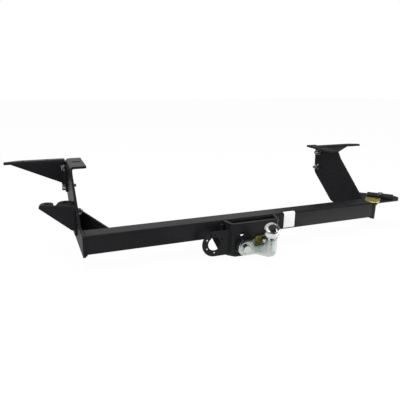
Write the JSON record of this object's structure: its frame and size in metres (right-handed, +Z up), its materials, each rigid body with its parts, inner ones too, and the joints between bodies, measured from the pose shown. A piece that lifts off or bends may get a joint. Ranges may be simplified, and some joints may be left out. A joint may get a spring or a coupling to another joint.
{
  "type": "towbar",
  "caption": "Fixed towbar: a square cross tube between stepped side arms with folded brackets, a centre bracket with a bolted flange ball, and a side plate for a trailer socket.",
  "frame": {"origin": "the centre of the coupling ball", "axes": "+X along the cross tube to the vehicle's right, +Y forward to the vehicle, +Z up"},
  "size_m": [1.52, 0.578, 0.269],
  "materials": {
    "black_coat": "semi-gloss black powder coat",
    "ball_zinc": "bright zinc on forged steel",
    "bright_zinc": "bright zinc",
    "yellow_zinc": "yellow passivated zinc",
    "white_label": "matt white, blank"
  },
  "bodies": {
    "root": {"backing_plate": "yellow_zinc", "ball_bolts": "bright_zinc", "ball_nuts": "bright_zinc", "ball_spring_washers": "bright_zinc", "ball_washers": "bright_zinc", "blank_label": "white_label", "brace_weld": "black_coat", "centre_bracket": "black_coat", "centre_bracket_weld": "black_coat", "clamp_bolts": "bright_zinc", "clamp_nuts": "bright_zinc", "clamp_plate": "black_coat", "clamp_washers": "bright_zinc", "corner_brace": "black_coat", "cross_tube": "black_coat", "left_arm": "black_coat", "left_arm_weld": "black_coat", "left_lower_bolts": "bright_zinc", "left_lower_bracket": "black_coat", "left_lower_nuts": "bright_zinc", "left_lower_washers": "bright_zinc", "left_upper_bolts": "bright_zinc", "left_upper_bracket": "black_coat", "left_upper_nuts": "bright_zinc", "left_upper_washers": "bright_zinc", "nut_plate": "yellow_zinc", "right_arm": "black_coat", "right_arm_weld": "black_coat", "right_lower_bolts": "bright_zinc", "right_lower_bracket": "black_coat", "right_lower_nuts": "bright_zinc", "right_lower_washers": "bright_zinc", "right_upper_bolts": "bright_zinc", "right_upper_bracket": "black_coat", "right_upper_nuts": "bright_zinc", "right_upper_washers": "bright_zinc", "socket_plate": "black_coat", "socket_plate_weld": "black_coat", "tow_ball": "ball_zinc"}
  },
  "joints": []
}
